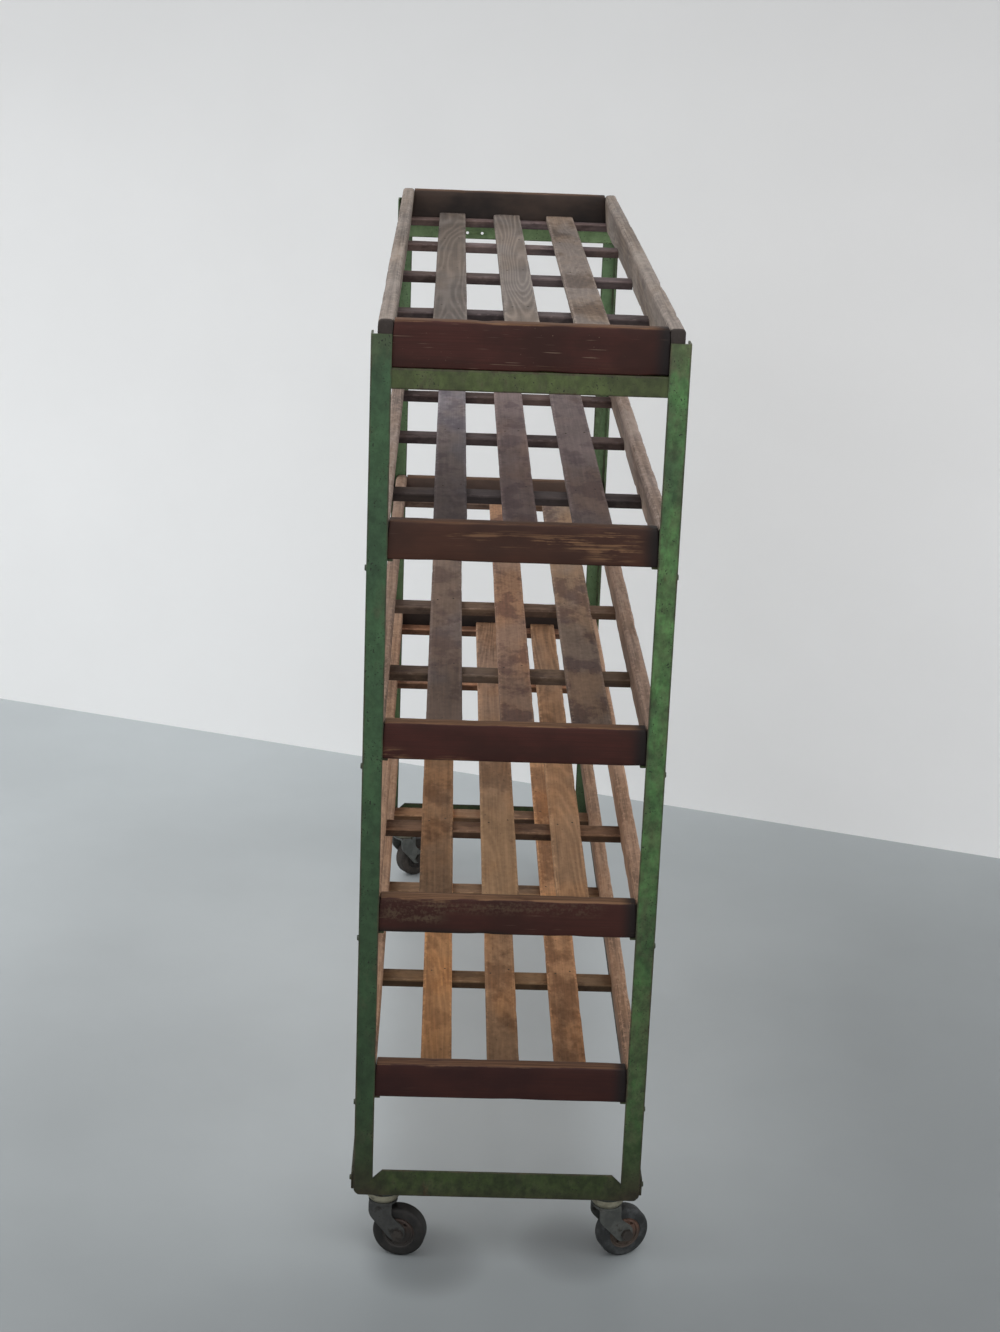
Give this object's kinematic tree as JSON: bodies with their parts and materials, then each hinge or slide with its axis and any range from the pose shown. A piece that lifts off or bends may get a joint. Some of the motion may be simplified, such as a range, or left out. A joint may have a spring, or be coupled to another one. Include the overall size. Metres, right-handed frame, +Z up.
{
  "type": "rolling storage rack",
  "caption": "Tall narrow rolling rack: green angle-iron frame on swivel casters, carrying shallow wooden trays with slatted floors and raised rims for storing or drying goods.",
  "frame": {"origin": "on the floor, under the middle of the frame", "axes": "+Z up, +Y along the rack from its front end to its rear end, +X across it to the right"},
  "size_m": [0.476, 1.6086, 1.4976],
  "materials": {
    "post_paint": "worn gloss paint with rust scuffs",
    "rail_paint": "worn paint with brown smudges",
    "base_paint": "dirty worn paint with rusty corners",
    "cleat_paint": "worn paint",
    "side_board_wood": "bare, weathered and rubbed",
    "end_board_wood": "worn red-brown stain with bare edges",
    "batten_wood": "bare, darkened",
    "slat_wood": "bare, weathered, with open grain",
    "dark_steel": "blackened",
    "race_steel": "bright zinc",
    "bolt_steel": "dull zinc",
    "fork_zinc": "dull zinc",
    "hub_paint": "rust-red, dusty",
    "tyre_rubber": "dusty black rubber"
  },
  "bodies": {
    "rack": {"post_front_left": "post_paint", "post_front_right": "post_paint", "post_rear_left": "post_paint", "post_rear_right": "post_paint", "top_rail_front": "rail_paint", "base_rail_front": "base_paint", "top_rail_rear": "rail_paint", "base_rail_rear": "base_paint", "side_bar_left": "post_paint", "side_bar_right": "post_paint", "tray_cleats": "cleat_paint", "tray_1_left_side": "side_board_wood", "tray_1_right_side": "side_board_wood", "tray_1_front_end": "end_board_wood", "tray_1_rear_end": "end_board_wood", "tray_1_battens": "batten_wood", "tray_1_slats": "slat_wood", "tray_2_left_side": "side_board_wood", "tray_2_right_side": "side_board_wood", "tray_2_front_end": "end_board_wood", "tray_2_rear_end": "end_board_wood", "tray_2_battens": "batten_wood", "tray_2_slats": "slat_wood", "tray_3_left_side": "side_board_wood", "tray_3_right_side": "side_board_wood", "tray_3_front_end": "end_board_wood", "tray_3_rear_end": "end_board_wood", "tray_3_battens": "batten_wood", "tray_3_slats": "slat_wood", "tray_4_left_side": "side_board_wood", "tray_4_right_side": "side_board_wood", "tray_4_front_end": "end_board_wood", "tray_4_rear_end": "end_board_wood", "tray_4_battens": "batten_wood", "tray_4_slats": "slat_wood", "tray_5_left_side": "side_board_wood", "tray_5_right_side": "side_board_wood", "tray_5_front_end": "end_board_wood", "tray_5_rear_end": "end_board_wood", "tray_5_battens": "batten_wood", "tray_5_slats": "slat_wood", "caster_dishes": "dark_steel", "race_rings": "race_steel", "king_bolts": "bolt_steel"},
    "caster_front_left": {"fork_front_left": "fork_zinc", "axle_front_left": "bolt_steel"},
    "wheel_front_left": {"hub_front_left": "hub_paint", "tyre_front_left": "tyre_rubber"},
    "caster_front_right": {"fork_front_right": "fork_zinc", "axle_front_right": "bolt_steel"},
    "wheel_front_right": {"hub_front_right": "hub_paint", "tyre_front_right": "tyre_rubber"},
    "caster_rear_left": {"fork_rear_left": "fork_zinc", "axle_rear_left": "bolt_steel"},
    "wheel_rear_left": {"hub_rear_left": "hub_paint", "tyre_rear_left": "tyre_rubber"},
    "caster_rear_right": {"fork_rear_right": "fork_zinc", "axle_rear_right": "bolt_steel"},
    "wheel_rear_right": {"hub_rear_right": "hub_paint", "tyre_rear_right": "tyre_rubber"}
  },
  "joints": [
    {"name": "swivel_front_left", "type": "hinge", "parent": "rack", "child": "caster_front_left", "pos_m": [-0.178, -0.7625, 0.0963], "axis": [0, 0, 1], "continuous": true},
    {"name": "roll_front_left", "type": "hinge", "parent": "caster_front_left", "child": "wheel_front_left", "pos_m": [-0.15043, -0.76736, 0.042], "axis": [0.1736, 0.9848, 0], "continuous": true},
    {"name": "swivel_front_right", "type": "hinge", "parent": "rack", "child": "caster_front_right", "pos_m": [0.178, -0.7625, 0.0963], "axis": [0, 0, 1], "continuous": true},
    {"name": "roll_front_right", "type": "hinge", "parent": "caster_front_right", "child": "wheel_front_right", "pos_m": [0.20396, -0.75201, 0.042], "axis": [-0.3746, 0.9272, 0], "continuous": true},
    {"name": "swivel_rear_left", "type": "hinge", "parent": "rack", "child": "caster_rear_left", "pos_m": [-0.178, 0.7625, 0.0963], "axis": [0, 0, 1], "continuous": true},
    {"name": "roll_rear_left", "type": "hinge", "parent": "caster_rear_left", "child": "wheel_rear_left", "pos_m": [-0.15594, 0.77974, 0.042], "axis": [-0.6157, 0.788, 0], "continuous": true},
    {"name": "swivel_rear_right", "type": "hinge", "parent": "rack", "child": "caster_rear_right", "pos_m": [0.178, 0.7625, 0.0963], "axis": [0, 0, 1], "continuous": true},
    {"name": "roll_rear_right", "type": "hinge", "parent": "caster_rear_right", "child": "wheel_rear_right", "pos_m": [0.18525, 0.73545, 0.042], "axis": [0.9659, 0.2588, 0], "continuous": true}
  ]
}
